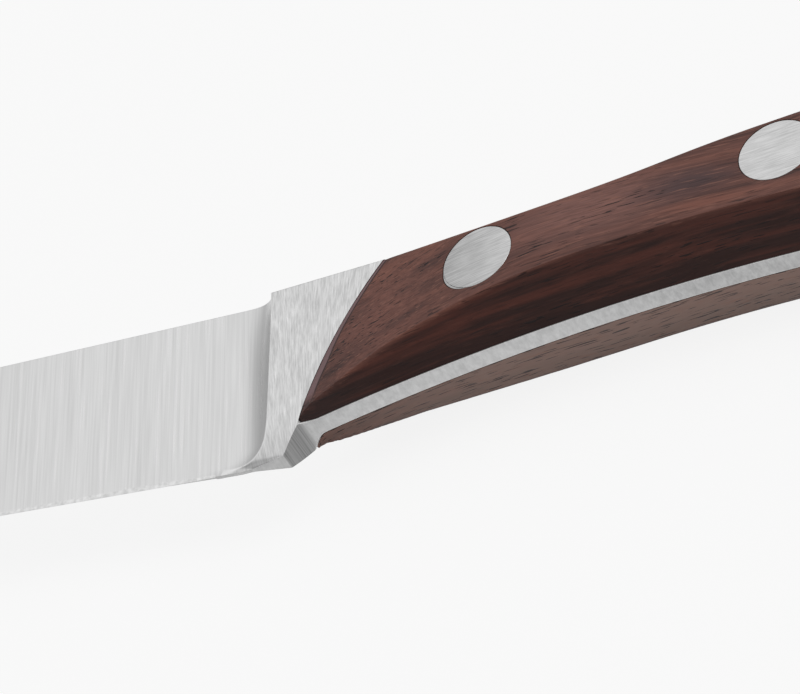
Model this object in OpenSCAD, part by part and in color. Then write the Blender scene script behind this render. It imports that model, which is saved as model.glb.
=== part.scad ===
// Forged vegetable knife: a blade with bolster and full tang in one piece, two wooden
// scales, and three two-part rivets. It lies on its right side, in millimetres:
// +X runs to the butt, +Y to the spine and +Z up, out of the left side.

/* [Blade] */
// Length from the bolster to the point
blade_l = 127; // [110:1:145]
// Height at the heel, from edge to spine
blade_h = 25.8; // [23:0.1:29]
// Thickness of the spine in front of the bolster
spine_t = 2; // [1.7:0.1:2.2]
// Thickness just above the sharpened bevel
edge_t = 0.32; // [0.26:0.02:0.4]
// Angle of each sharpened bevel to the middle plane
bevel_angle = 12; // [10:1:18]
// Flat left on the cutting edge
edge_flat = 0.04; // [0.02:0.01:0.08]
// Length of the straight part of the edge
edge_straight = 72; // [60:1:85]
// Height of the point above the line of the edge
point_h = 11; // [9:0.5:13]
// Length of the straight part of the spine
spine_straight = 70; // [55:1:80]
// Angle by which the spine falls towards the point
spine_fall = 2.3; // [1.5:0.1:3]
// Angle by which each face thins towards the point
distal_taper = 0.08; // [0.02:0.01:0.1]
// Angle between the edge and the row of rivets
cant = 10.9; // [9:0.1:12]

/* [Bolster] */
// Length along the top, from the blade to the scales
bolster_l = 18.8; // [17:0.1:21]
// Thickness at the heel's back corner
heel_t = 2.3; // [2.1:0.1:2.6]
// Thickness at the heel's front, where the blade begins
heel_front_t = 1.4; // [1.2:0.1:1.6]
// Least thickness of the heel along the edge
heel_edge_t = 0.84; // [0.7:0.02:1]
// Length of the heel's flat underside behind the edge
heel_l = 3.5; // [3:0.1:4]
// Rise of the underside at the back of the heel
heel_lift = 0.6; // [0.3:0.1:0.9]
// Angle of the heel's back to the row of rivets
heel_back = 51; // [47:1:55]
// Length of the heel's back up to the neck
heel_back_l = 4; // [3.7:0.1:4.3]
// Length of it along which the sides thin towards the heel
heel_thin_l = 3; // [2.6:0.1:3.3]
// Thickness at the neck
neck_t = 5.2; // [4.9:0.1:5.4]
// Thickness at the top of the front line
bolster_front_t = 8.1; // [7.4:0.1:8.8]
// Radius of the concave run-out from bolster to blade
runout_r = 7; // [6:0.1:7.5]
// Radius of the run-out's turn above the heel
sweep_r = 8; // [8:0.1:9]
// Distance of that turn's centre ahead of the heel
sweep_ahead = 4.7; // [4.2:0.1:5.2]
// Height of that turn's centre above the edge
sweep_h = 3.2; // [2.9:0.1:3.6]
// Radius of the neck between heel and belly
neck_r = 2.5; // [2:0.1:3]
// Radius of the hollow where the tang leaves the bolster
tang_fillet = 1.5; // [1:0.1:2]
// Radius of the joint between bolster and scale
joint_r = 49; // [44:1:56]
// Slope of that joint at its top
joint_slope = 42; // [38:1:46]

/* [Handle] */
// Thickness between the flat sides
handle_t = 16.9; // [16:0.1:18.5]
// Thickness of the tang
tang_t = 2.5; // [2.3:0.1:2.6]
// Height of the crown above the rivets at the waist
crown_h = 7; // [6.8:0.1:8]
// Depth of the belly below the rivets at the waist
belly_h = 8; // [7.6:0.1:9]
// Slope of the facets between the sides and the crown
crown_angle = 21; // [18:1:22]
// Slope of the facets between the sides and the belly
belly_angle = 18.5; // [17:0.5:20]
// Radius of the flare that thins the handle towards the bolster
flare_r = 140; // [125:1:160]
// Distance from the front rivet to the end of the flare
flare_l = 13.5; // [12:0.5:15]
// Distance from the rear rivet to the butt
butt_l = 18; // [15:0.5:22]
// Radius of the butt's corners in side view
butt_corner_r = 6; // [4:0.5:8]
// Radius of the butt's corners seen from above
butt_edge_r = 3; // [2:0.5:4]

/* [Rivets] */
// Distance between neighbouring rivets
rivet_pitch = 37.4; // [34:0.1:40]
// Distance from the top of the joint to the front rivet
rivet_setback = 12.7; // [12:0.1:14]
// Diameter of the heads
head_d = 9; // [8.4:0.1:9]
// Depth of the seats under the heads
head_seat = 3; // [2.6:0.1:3.4]
// Depth of the heads below the wood
head_recess = 0.03; // [0:0.01:0.1]
// Width of the edge break round the heads
head_chamfer = 0.12; // [0.05:0.01:0.2]
// Outer diameter of the sockets
socket_d = 5; // [4.6:0.1:5.4]
// Diameter of the pins
pin_d = 3; // [2.6:0.1:3.2]

/* [Fits] */
// Gap for glue round the scales
glue_gap = 0.05; // [0.02:0.01:0.1]
// Radial clearance of the rivets in the scales and the tang
rivet_gap = 0.05; // [0.02:0.01:0.1]
// Radial clearance of the pins in the sockets
pin_gap = 0.02; // [0.01:0.01:0.04]

/* [Hidden] */
$fn = 96;
fine = 720;
steel = "silver";
rosewood = "saddlebrown";

// Knife frame: the front rivet is at the origin, and the middle plane is z = 0
half_t = handle_t / 2;
half_tang = tang_t / 2;
origin_x = 1.5 * rivet_pitch;
rivet_x = [0, rivet_pitch, 2 * rivet_pitch];
butt_x = 2 * rivet_pitch + butt_l;
joint_x = -rivet_setback;
heel_x = joint_x - bolster_l;
far = 300;
margin = 30;
cut_below = 20;
cut_h = 60;
over = 1;
step = 1.5;

// Crown: slope of the top outline at its stations, from bolster to butt
crown_fall = tan(cant - spine_fall);
crown_waist_x = 12;
crown_rise = 0.07;
crown_rise_l = 12;
crown_butt_slope = -0.03;
crown_slope = [
    [joint_x, -crown_fall], [crown_waist_x, 0], [crown_waist_x + crown_rise_l, crown_rise],
    [crown_waist_x + 2 * crown_rise_l, 0], [butt_x, crown_butt_slope]];
crown_joint_y = crown_h + crown_fall * (crown_waist_x - joint_x) / 2;

// Belly: slope of the bottom outline at its stations, from neck to butt
belly_waist_x = 10.5;
belly_r = 245;
belly_butt_slope = 0.19;
neck_ahead = 11.3;
neck_x = joint_x - neck_ahead;
swell_x = rivet_x[2];
swell_bend_l = 17;
swell_bend_x = swell_x - swell_bend_l;
belly_slope = [
    [neck_x, (belly_waist_x - neck_x) / belly_r], [belly_waist_x, 0],
    [swell_bend_x, (belly_waist_x - swell_bend_x) / belly_r], [swell_x, 0], [butt_x, belly_butt_slope]];
belly_neck_y = -belly_h - pow(belly_waist_x - neck_x, 2) / (2 * belly_r);

// Points of a curve whose slope changes evenly between its stations
function curve(slope, x0, y0, x1) = let (n = ceil((x1 - x0) / step), d = (x1 - x0) / n)
    [for (i = 0, x = x0, y = y0; i <= n;
        y = y + d * (lookup(x, slope) + lookup(x + d, slope)) / 2, x = x + d, i = i + 1) [x, y]];
function unit(v) = v / norm(v);
function angle_of(v) = atan2(v[1], v[0]);

// Where two lines, each a point and a direction, cross
function crossing(p, u, q, v) = p + u * cross(q - p, v) / cross(u, v);

// Arc of radius r that rounds the corner c between the points a and b
function rounded(a, c, b, r) = let (
    u = unit(a - c), v = unit(b - c), half = acos(u * v) / 2,
    o = c + unit(u + v) * r / sin(half),
    a0 = angle_of(c + u * r / tan(half) - o),
    turn = angle_of(c + v * r / tan(half) - o) - a0,
    sweep = turn > 180 ? turn - 360 : turn < -180 ? turn + 360 : turn, n = ceil(abs(sweep) / 6))
    [for (i = [0:n]) o + r * [cos(a0 + sweep * i / n), sin(a0 + sweep * i / n)]];

// Blade frame: u from the heel to the point along the edge, v from edge to spine
function spine_y(x) = crown_joint_y + crown_fall * (joint_x - x);
heel_y = spine_y(heel_x + blade_h * sin(cant)) - blade_h * cos(cant);
function to_knife(p) = [heel_x - p[0] * cos(cant) + p[1] * sin(cant),
    heel_y + p[0] * sin(cant) + p[1] * cos(cant)];
module blade_frame() translate([heel_x, heel_y, 0]) rotate([0, 0, -cant]) mirror([1, 0, 0]) children();

// Edge: a straight, then an arc that rises to the point
edge_run = blade_l - edge_straight;
edge_r = (edge_run * edge_run + point_h * point_h) / (2 * point_h);
edge_turn = asin(edge_run / edge_r);
edge_steps = 24;
edge_curve = [for (i = [0:edge_steps]) let (a = edge_turn * i / edge_steps)
    [edge_straight + edge_r * sin(a), edge_r * (1 - cos(a))]];

// Spine: a straight, then a curve that falls to the point
spine_bend_h = blade_h - spine_straight * tan(spine_fall);
spine_run = blade_l - spine_straight;
spine_slope = [[spine_straight, -tan(spine_fall)],
    [blade_l, tan(spine_fall) - 2 * (spine_bend_h - point_h) / spine_run]];
spine_curve = curve(spine_slope, spine_straight, spine_bend_h, blade_l);

// Side view of the whole forging
heel_front_u = 2.5;
belly_start_l = 3;
heel_front = to_knife([heel_front_u, 0]);
heel_corner = to_knife([-heel_l, heel_lift]);
heel_dir = [cos(heel_back), sin(heel_back)];
belly_dir = [1, belly_slope[0][1]];
belly_start = [neck_x, belly_neck_y] + belly_start_l * belly_dir;
belly_curve = curve(belly_slope, belly_start[0], belly_start[1], butt_x);
neck_corner = crossing(heel_corner, heel_dir, belly_start, belly_dir);
crown_curve = curve(crown_slope, joint_x, crown_joint_y, butt_x);
belly_end = belly_curve[len(belly_curve) - 1];
crown_end = crown_curve[len(crown_curve) - 1];
butt_from = butt_x - 2 * butt_corner_r;
outline = concat(
    [for (p = edge_curve) to_knife(p)],
    [for (i = [len(spine_curve) - 2:-1:0]) to_knife(spine_curve[i])],
    [for (p = crown_curve) if (p[0] < butt_from) p],
    rounded(crown_end - far * [1, crown_butt_slope], crown_end, belly_end, butt_corner_r),
    rounded(crown_end, belly_end, belly_end - far * [1, belly_butt_slope], butt_corner_r),
    [for (i = [len(belly_curve) - 1:-1:0]) if (belly_curve[i][0] < butt_from) belly_curve[i]],
    rounded(belly_curve[0], neck_corner, heel_corner, neck_r),
    [heel_corner, heel_front]);

// Joint between bolster and scales: an arc across the side view
joint_rise = 0.2;
joint_top = [joint_x, crown_h + joint_rise];
joint_at = joint_top + joint_r * [sin(joint_slope), -cos(joint_slope)];
module behind_joint(gap = 0) {
    translate(joint_at) circle(joint_r - gap, $fn = fine);
    translate([0, -far]) square(2 * far);
}

// Sides of the handle, seen from the crown: flat, flared to the bolster, rounded at the butt
module side_plan(inset = 0) {
    h = half_t - inset;
    flare_at = half_t - flare_r;
    intersection() {
        translate([flare_l, flare_at]) circle(flare_r - inset, $fn = fine);
        translate([flare_l, -flare_at]) circle(flare_r - inset, $fn = fine);
        translate([flare_l - cut_h, -h]) square([cut_h, 2 * h]);
    }
    translate([flare_l, -h]) square([butt_x - butt_edge_r - flare_l, 2 * h]);
    translate([flare_l, butt_edge_r - h]) square([butt_x - flare_l + over, 2 * (h - butt_edge_r)]);
    for (s = [-1, 1]) translate([butt_x - butt_edge_r, s * (h - butt_edge_r)]) circle(butt_edge_r);
}
module between_sides(inset = 0) rotate([90, 0, 0])
    linear_extrude(2 * far, center = true) side_plan(inset);

// Half thickness of the flared side at a place along the handle
function side_z(x) = half_t - flare_r + sqrt(pow(flare_r, 2) - pow(flare_l - x, 2));

// Everything past the sloping facets above the crown and below the belly, on the left side
crown_line = concat([[heel_x - margin, spine_y(heel_x - margin)]], crown_curve);
belly_line = concat([belly_start - margin * belly_dir], belly_curve);
module past_crown() translate([0, 0, half_tang]) rotate([crown_angle, 0, 0])
    translate([0, 0, -cut_below]) linear_extrude(cut_h) polygon(concat(
        [for (p = crown_line) [p[0], p[1] * cos(crown_angle)]],
        [[butt_x, cut_h], [crown_line[0][0], cut_h]]));
module past_belly() translate([0, 0, half_tang]) rotate([-belly_angle, 0, 0])
    translate([0, 0, -cut_below]) linear_extrude(cut_h) polygon(concat(
        [for (p = belly_line) [p[0], p[1] * cos(belly_angle)]],
        [[butt_x, -cut_h], [belly_line[0][0], -cut_h]]));
module both_sides() {
    children();
    mirror([0, 0, 1]) children();
}

// Bolster: each side is a plane through the neck, the front line's top and the joint's top.
// A second plane thins it along the heel, from the back corner to where the blade begins.
function slopes(a, b, c) = let (n = cross(c - a, b - a)) [-n[0] / n[2], -n[1] / n[2]];
function lift(p, z) = [p[0], p[1], z];
front_ahead = 1.8;
front_drop = 1.3;
heel_thin_end = 6;
neck_tip = heel_corner + heel_back_l * heel_dir;
plane_neck = lift(neck_tip, neck_t / 2);
plane_front = lift(to_knife([front_ahead, blade_h - front_drop]), bolster_front_t / 2);
plane_joint = lift(joint_top, side_z(joint_x));
side_slopes = slopes(plane_neck, plane_front, plane_joint);
thin_at = heel_corner + heel_thin_l * heel_dir;
plane_heel = lift(heel_corner, heel_t / 2);
plane_start = lift([heel_x, heel_y], heel_front_t / 2);
plane_thin = lift(thin_at, neck_t / 2 + side_slopes * (thin_at - neck_tip));
heel_slopes = slopes(plane_heel, plane_start, plane_thin);
module half_space() translate([-far, -far, 0]) cube([2 * far, 2 * far, far]);
module above_plane(at, slope) translate(at) rotate([0, -atan(slope[0]), 0])
    rotate([atan(slope[1] * cos(atan(slope[0]))), 0, 0]) half_space();
module outside_bolster() {
    intersection() {
        above_plane(plane_neck, side_slopes);
        translate([0, 0, heel_t / 2]) half_space();
    }
    intersection() {
        above_plane(plane_heel, heel_slopes);
        translate([heel_x - heel_thin_end, -far, heel_edge_t / 2]) cube([far, 2 * far, far]);
    }
}

// Run-out: the wall that grinding the blade leaves, swept along the bolster and round the heel
module runout_profile(reach) intersection() {
    translate([-reach, 0]) square([reach + sweep_r, cut_below]);
    union() {
        translate([sweep_r - runout_r, runout_r]) circle(runout_r);
        translate([-reach, 0]) square([reach + sweep_r - runout_r, cut_below]);
        translate([-reach, runout_r]) square([reach + sweep_r, cut_below]);
    }
}
// It comes down square to the row of rivets, makes a quarter turn, and leaves along that row
face_angle = atan((spine_t - edge_t) / 2 / blade_h);
exit_l = 40;
exit_w = 6;
module ground_face() translate([0, 0, edge_t / 2]) rotate([face_angle, distal_taper, 0])
    translate([sweep_ahead, sweep_h, 0]) rotate([0, 0, 180 - cant]) {
        rotate([90, 0, 0]) linear_extrude(cut_h) runout_profile(blade_l + margin);
        rotate_extrude(angle = 90) runout_profile(0);
        rotate([90, 0, -90]) linear_extrude(exit_l) mirror([1, 0, 0]) runout_profile(exit_w);
    }

// Bevel of the cutting edge, along the straight and round the curve
bevel_start = 12;
bevel_reach = 3;
module bevel_profile() polygon([
    [-bevel_reach, edge_flat / 2 + bevel_reach * tan(bevel_angle)],
    [over, edge_flat / 2 - over * tan(bevel_angle)], [over, bevel_reach], [-bevel_reach, bevel_reach]]);
module bevel() {
    translate([edge_straight, 0, 0]) rotate([0, 0, -90]) rotate([90, 0, 0])
        linear_extrude(edge_straight - bevel_start) bevel_profile();
    translate([edge_straight, edge_r, 0]) rotate([0, 0, -90])
        rotate_extrude(angle = edge_turn + over) translate([edge_r, 0]) bevel_profile();
}

// Hollow fillet at the foot of the bolster's back, where the tang leaves it
root_h = half_tang + tang_fillet;
root_in = 0.4;
root_end_x = -2;
module tang_root(gap = 0) intersection() {
    translate([joint_at[0], joint_at[1], 0]) rotate_extrude($fn = fine) difference() {
        translate([joint_r - tang_fillet, 0]) square([tang_fillet + root_in, root_h + gap]);
        translate([joint_r - tang_fillet - gap, root_h + gap]) circle(tang_fillet);
    }
    translate([root_end_x - far, -far, 0]) cube([far, 2 * far, far]);
}

module rivet_bores(d) for (x = rivet_x) translate([x, 0, 0])
    cylinder(d = d, h = 2 * far, center = true);

// Room beside the tang for one scale
module scale_room() difference() {
    translate([0, 0, half_tang]) linear_extrude(far) behind_joint();
    tang_root();
}

module forging() difference() {
    linear_extrude(handle_t, center = true) polygon(outline);
    both_sides() scale_room();
    both_sides() outside_bolster();
    both_sides() translate([0, 0, glue_gap]) past_crown();
    both_sides() blade_frame() ground_face();
    both_sides() blade_frame() bevel();
    rivet_bores(socket_d + 2 * rivet_gap);
}

seat_z = half_t - head_seat;
module scale_piece() difference() {
    intersection() {
        translate([0, 0, half_tang + glue_gap]) linear_extrude(half_t) intersection() {
            polygon(outline);
            behind_joint(glue_gap);
        }
        between_sides();
    }
    past_crown();
    past_belly();
    tang_root(glue_gap);
    rivet_bores(socket_d + 2 * rivet_gap);
    for (x = rivet_x) translate([x, 0, seat_z]) cylinder(d = head_d + 2 * rivet_gap, h = half_t);
}

// Rivet heads are ground flush with the handle's side
module ground_flush() intersection() {
    children();
    between_sides(head_recess);
}
module head() rotate_extrude() polygon([
    [0, seat_z], [head_d / 2 - head_chamfer, seat_z], [head_d / 2, seat_z + head_chamfer],
    [head_d / 2, half_t + over], [0, half_t + over]]);
tube_gap = 0.1;
tube_end = -seat_z + tube_gap;
root = 0.5;
module rivet_socket(i) ground_flush() translate([rivet_x[i], 0, 0]) difference() {
    union() {
        head();
        translate([0, 0, tube_end]) cylinder(d = socket_d, h = seat_z - tube_end + root);
    }
    translate([0, 0, tube_end - over]) cylinder(d = pin_d + 2 * pin_gap, h = seat_z - tube_end + over);
}
module rivet_pin(i) ground_flush() translate([rivet_x[i], 0, 0]) {
    mirror([0, 0, 1]) head();
    translate([0, 0, -seat_z - root]) cylinder(d = pin_d, h = 2 * seat_z);
}

module lying() translate([-origin_x, 0, half_t]) children();
module blade() color(steel) lying() forging();
module left_scale() color(rosewood) lying() scale_piece();
module right_scale() color(rosewood) lying() mirror([0, 0, 1]) scale_piece();
module front_rivet_socket() color(steel) lying() rivet_socket(0);
module front_rivet_pin() color(steel) lying() rivet_pin(0);
module middle_rivet_socket() color(steel) lying() rivet_socket(1);
module middle_rivet_pin() color(steel) lying() rivet_pin(1);
module rear_rivet_socket() color(steel) lying() rivet_socket(2);
module rear_rivet_pin() color(steel) lying() rivet_pin(2);

blade();
left_scale();
right_scale();
front_rivet_socket();
front_rivet_pin();
middle_rivet_socket();
middle_rivet_pin();
rear_rivet_socket();
rear_rivet_pin();
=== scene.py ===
"""Looks of the vegetable knife: ground steel forging, rosewood scales, flush rivets, floor and light."""
import math

import bpy
import numpy as np
from mathutils import Matrix, Vector


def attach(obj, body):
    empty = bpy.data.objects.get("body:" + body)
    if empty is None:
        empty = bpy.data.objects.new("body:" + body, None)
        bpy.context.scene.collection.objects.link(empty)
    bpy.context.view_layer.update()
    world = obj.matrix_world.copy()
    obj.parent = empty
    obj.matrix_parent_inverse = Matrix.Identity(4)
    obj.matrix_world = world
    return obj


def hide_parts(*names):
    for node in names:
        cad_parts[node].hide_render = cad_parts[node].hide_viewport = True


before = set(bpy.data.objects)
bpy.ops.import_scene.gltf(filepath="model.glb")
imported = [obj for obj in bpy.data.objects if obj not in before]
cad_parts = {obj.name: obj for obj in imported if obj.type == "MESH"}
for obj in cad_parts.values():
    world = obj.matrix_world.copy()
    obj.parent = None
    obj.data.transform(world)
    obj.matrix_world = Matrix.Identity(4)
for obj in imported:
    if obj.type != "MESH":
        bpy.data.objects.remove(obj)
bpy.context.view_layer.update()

# Sizes in millimetres and degrees, named as in the part's source. HEEL_EDGE_T, SWEEP_AHEAD and SWEEP_H
# are a little smaller than there. The knife frame has the front rivet at its origin and the middle
# plane at z = 0; the row frame is the same one, moved by ORIGIN_X and HALF_T.
MM = 0.001

# Blade: lengths along its straight edge, heights from edge to spine
BLADE_L = 127.0
BLADE_H = 25.8
SPINE_T = 2.0
EDGE_T = 0.32
EDGE_FLAT = 0.04
EDGE_STRAIGHT = 72.0
BEVEL_ANGLE = 12.0
BEVEL_START = 12.0
POINT_H = 11.0
SPINE_STRAIGHT = 70.0
SPINE_FALL = 2.3
DISTAL_TAPER = 0.08
CANT = 10.9

# Bolster, heel and neck
BOLSTER_L = 18.8
BOLSTER_FRONT_T = 8.1
FRONT_AHEAD = 1.8
FRONT_DROP = 1.3
RUNOUT_R = 7.0
SWEEP_R = 8.0
SWEEP_AHEAD = 4.56
SWEEP_H = 2.5
HEEL_T = 2.3
HEEL_EDGE_T = 0.5
HEEL_L = 3.5
HEEL_LIFT = 0.6
HEEL_BACK = 51.0
HEEL_BACK_L = 4.0
HEEL_FRONT_U = 2.5
HEEL_BEND_H = 6.0
HEEL_THIN_END = 6.0
HEEL_THIN_BLUR = 1.0
NECK_T = 5.2
NECK_R = 2.5
NECK_AHEAD = 11.3

# Tang, and the joint between bolster and scales
TANG_T = 2.5
TANG_FILLET = 1.5
JOINT_R = 49.0
JOINT_SLOPE = 42.0
JOINT_RISE = 0.2

# Handle: slopes are rises per millimetre along the row of rivets
HANDLE_T = 16.9
CROWN_H = 7.0
CROWN_ANGLE = 21.0
CROWN_WAIST_X = 12.0
CROWN_RISE = 0.07
CROWN_RISE_L = 12.0
CROWN_BUTT_SLOPE = -0.03
BELLY_H = 8.0
BELLY_ANGLE = 18.5
BELLY_WAIST_X = 10.5
BELLY_R = 245.0
BELLY_START_L = 3.0
BELLY_BUTT_SLOPE = 0.19
SWELL_BEND_L = 17.0
FLARE_R = 140.0
FLARE_L = 13.5
BUTT_L = 18.0
BUTT_CORNER_R = 6.0
BUTT_EDGE_R = 3.0

# Rivets and gaps
RIVET_PITCH = 37.4
RIVET_SETBACK = 12.7
HEAD_D = 9.0
HEAD_SEAT = 3.0
HEAD_RECESS = 0.03
HEAD_CHAMFER = 0.12
SOCKET_D = 5.0
PIN_D = 3.0
PIN_GAP = 0.02
GLUE_GAP = 0.05

HALF_T = HANDLE_T / 2
HALF_TANG = TANG_T / 2
RIVET_X = [0.0, RIVET_PITCH, 2 * RIVET_PITCH]
ORIGIN_X = 1.5 * RIVET_PITCH
BUTT_X = RIVET_X[2] + BUTT_L
JOINT_X = -RIVET_SETBACK
HEEL_X = JOINT_X - BOLSTER_L


def tan(degrees):
    return math.tan(math.radians(degrees))


def cos(degrees):
    return math.cos(math.radians(degrees))


def sin(degrees):
    return math.sin(math.radians(degrees))


def to_row(points):
    """Knife frame in millimetres to row frame in metres."""
    return (np.asarray(points, float) + [-ORIGIN_X, 0.0, HALF_T]) * MM


# Outlines of the forging in side view

def curve(bends, x0, y0, x1, step=0.1):
    """Points of a curve whose slope changes evenly between its bends, each an x and a slope."""
    x = np.linspace(x0, x1, int(math.ceil((x1 - x0) / step)) + 1)
    slope = np.interp(x, [bend[0] for bend in bends], [bend[1] for bend in bends])
    rise = np.concatenate([[0.0], np.cumsum((slope[1:] + slope[:-1]) / 2 * np.diff(x))])
    return np.column_stack([x, y0 + rise])


def rounded(a, c, b, r, steps=24):
    """Arc of radius r in the corner c between the points a and b."""
    a, c, b = (np.asarray(p, float) for p in (a, c, b))
    u = (a - c) / np.linalg.norm(a - c)
    v = (b - c) / np.linalg.norm(b - c)
    half = math.acos(float(u @ v)) / 2
    centre = c + (u + v) / np.linalg.norm(u + v) * r / math.sin(half)
    start = c + u * r / math.tan(half) - centre
    end = c + v * r / math.tan(half) - centre
    first = math.atan2(start[1], start[0])
    turn = (math.atan2(end[1], end[0]) - first + math.pi) % (2 * math.pi) - math.pi
    angles = [first + turn * i / steps for i in range(steps + 1)]
    return np.array([centre + r * np.array([math.cos(angle), math.sin(angle)]) for angle in angles])


def crossing(a, along_a, b, along_b):
    """Where the line from a along along_a meets the line from b along along_b."""
    gap = b - a
    return a + along_a * (gap[0] * along_b[1] - gap[1] * along_b[0]) / (
        along_a[0] * along_b[1] - along_a[1] * along_b[0])


def to_knife(u, v):
    """Blade frame to knife frame: u runs from heel to point along the edge, v from edge to spine."""
    return np.array([HEEL_X - u * cos(CANT) + v * sin(CANT), HEEL_Y + u * sin(CANT) + v * cos(CANT)])


def to_blade(x, y):
    """Knife frame to blade frame."""
    dx, dy = x - HEEL_X, y - HEEL_Y
    return -dx * cos(CANT) + dy * sin(CANT), dx * sin(CANT) + dy * cos(CANT)


CROWN_FALL = tan(CANT - SPINE_FALL)
CROWN_SLOPE = [(JOINT_X, -CROWN_FALL), (CROWN_WAIST_X, 0.0), (CROWN_WAIST_X + CROWN_RISE_L, CROWN_RISE),
               (CROWN_WAIST_X + 2 * CROWN_RISE_L, 0.0), (BUTT_X, CROWN_BUTT_SLOPE)]
CROWN_JOINT_Y = CROWN_H + CROWN_FALL * (CROWN_WAIST_X - JOINT_X) / 2
NECK_X = JOINT_X - NECK_AHEAD
SWELL_X = RIVET_X[2]
SWELL_BEND_X = SWELL_X - SWELL_BEND_L
BELLY_SLOPE = [(NECK_X, (BELLY_WAIST_X - NECK_X) / BELLY_R), (BELLY_WAIST_X, 0.0),
               (SWELL_BEND_X, (BELLY_WAIST_X - SWELL_BEND_X) / BELLY_R), (SWELL_X, 0.0),
               (BUTT_X, BELLY_BUTT_SLOPE)]
BELLY_NECK_Y = -BELLY_H - (BELLY_WAIST_X - NECK_X) ** 2 / (2 * BELLY_R)
SPINE_HEEL_Y = CROWN_JOINT_Y + CROWN_FALL * (JOINT_X - HEEL_X - BLADE_H * sin(CANT))
HEEL_Y = SPINE_HEEL_Y - BLADE_H * cos(CANT)

EDGE_RUN = BLADE_L - EDGE_STRAIGHT
EDGE_R = (EDGE_RUN ** 2 + POINT_H ** 2) / (2 * POINT_H)
EDGE_STEPS = 700
edge_u = np.linspace(BLADE_L, HEEL_FRONT_U, EDGE_STEPS)
edge_v = EDGE_R - np.sqrt(EDGE_R ** 2 - np.maximum(edge_u - EDGE_STRAIGHT, 0) ** 2)
edge_points = to_knife(edge_u, edge_v).T
SPINE_BEND_H = BLADE_H - SPINE_STRAIGHT * tan(SPINE_FALL)
SPINE_SLOPE = [(SPINE_STRAIGHT, -tan(SPINE_FALL)),
               (BLADE_L, tan(SPINE_FALL) - 2 * (SPINE_BEND_H - POINT_H) / (BLADE_L - SPINE_STRAIGHT))]
spine_curve = curve(SPINE_SLOPE, SPINE_STRAIGHT, SPINE_BEND_H, BLADE_L)[::-1]
spine_points = to_knife(spine_curve[:, 0], spine_curve[:, 1]).T

heel_corner = to_knife(-HEEL_L, HEEL_LIFT)
heel_dir = np.array([cos(HEEL_BACK), sin(HEEL_BACK)])
belly_dir = np.array([1.0, BELLY_SLOPE[0][1]])
belly_start = np.array([NECK_X, BELLY_NECK_Y]) + BELLY_START_L * belly_dir
belly_curve = curve(BELLY_SLOPE, belly_start[0], belly_start[1], BUTT_X)
crown_curve = curve(CROWN_SLOPE, JOINT_X, CROWN_JOINT_Y, BUTT_X)
neck_corner = crossing(heel_corner, heel_dir, belly_start, belly_dir)
neck_arc = rounded(heel_corner, neck_corner, belly_start, NECK_R)
belly_end = belly_curve[-1]
crown_end = crown_curve[-1]
BUTT_LEAD = 30.0
belly_lead = belly_end - BUTT_LEAD * np.array([1.0, BELLY_BUTT_SLOPE])
crown_lead = crown_end - BUTT_LEAD * np.array([1.0, CROWN_BUTT_SLOPE])
butt_low = rounded(belly_lead, belly_end, crown_end, BUTT_CORNER_R)
butt_high = rounded(crown_lead, crown_end, belly_end, BUTT_CORNER_R)

between_arcs = (belly_curve[:, 0] > neck_arc[-1][0]) & (belly_curve[:, 0] < butt_low[0][0])
low_line = np.vstack([edge_points, heel_corner[None], neck_arc, belly_curve[between_arcs], butt_low])
high_line = np.vstack([spine_points, crown_curve[crown_curve[:, 0] < butt_high[0][0]], butt_high])


def low(x):
    """Bottom outline of the whole knife."""
    return np.interp(x, low_line[:, 0], low_line[:, 1])


def high(x):
    """Top outline of the whole knife."""
    return np.interp(x, high_line[:, 0], high_line[:, 1])


def crown(x):
    """Top outline without the rounded butt, carried on along the spine's line ahead of the joint."""
    return np.where(x < JOINT_X, CROWN_JOINT_Y + CROWN_FALL * (JOINT_X - x),
                    np.interp(x, crown_curve[:, 0], crown_curve[:, 1]))


def belly(x):
    """Bottom outline without neck and butt corner."""
    return np.where(x < belly_start[0], belly_start[1] + (x - belly_start[0]) * BELLY_SLOPE[0][1],
                    np.interp(x, belly_curve[:, 0], belly_curve[:, 1]))


joint_top = np.array([JOINT_X, CROWN_H + JOINT_RISE])
joint_at = joint_top + JOINT_R * np.array([sin(JOINT_SLOPE), -cos(JOINT_SLOPE)])


def joint_line(y, inset=0.0):
    """Place of the joint's arc at a height, or of an arc that lies inset behind it."""
    return joint_at[0] - np.sqrt(np.maximum((JOINT_R - inset) ** 2 - (y - joint_at[1]) ** 2, 0.0))


def joint_depth(x, y):
    """Distance behind the joint's arc."""
    return np.where(x < 0, JOINT_R - np.hypot(x - joint_at[0], y - joint_at[1]), JOINT_R)


def root_rise(depth):
    """Height of the hollow fillet at the tang's root."""
    left = np.clip(TANG_FILLET - depth, 0.0, TANG_FILLET)
    return TANG_FILLET - np.sqrt(TANG_FILLET ** 2 - left ** 2)


def side_z(x):
    """Half thickness of the handle at its flat sides, thinner towards the bolster and round at the butt."""
    flare = np.clip(FLARE_L - x, 0.0, FLARE_R)
    z = HALF_T - FLARE_R + np.sqrt(FLARE_R ** 2 - flare ** 2)
    past = np.clip(x - (BUTT_X - BUTT_EDGE_R), 0.0, BUTT_EDGE_R)
    return z - BUTT_EDGE_R + np.sqrt(BUTT_EDGE_R ** 2 - past ** 2)


def soft_min(a, b, k):
    """The smaller of two heights, with the ridge between them rounded."""
    return np.minimum(a, b) - np.maximum(k - np.abs(a - b), 0.0) ** 2 / (4 * k)


def soft_max(a, b, k):
    """The larger of two heights, with the hollow between them rounded."""
    return -soft_min(-a, -b, k)


# Half thickness of the forging: bolster planes, facets of the crown, ground blade and edge bevel

# Rounding of ridges and hollows, as differences in height
CROWN_RIDGE, FRONT_RIDGE, BEVEL_RIDGE, HEEL_HOLLOW = 0.55, 0.04, 0.012, 0.1
FACE_SLOPE = (SPINE_T - EDGE_T) / 2 / BLADE_H
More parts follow.
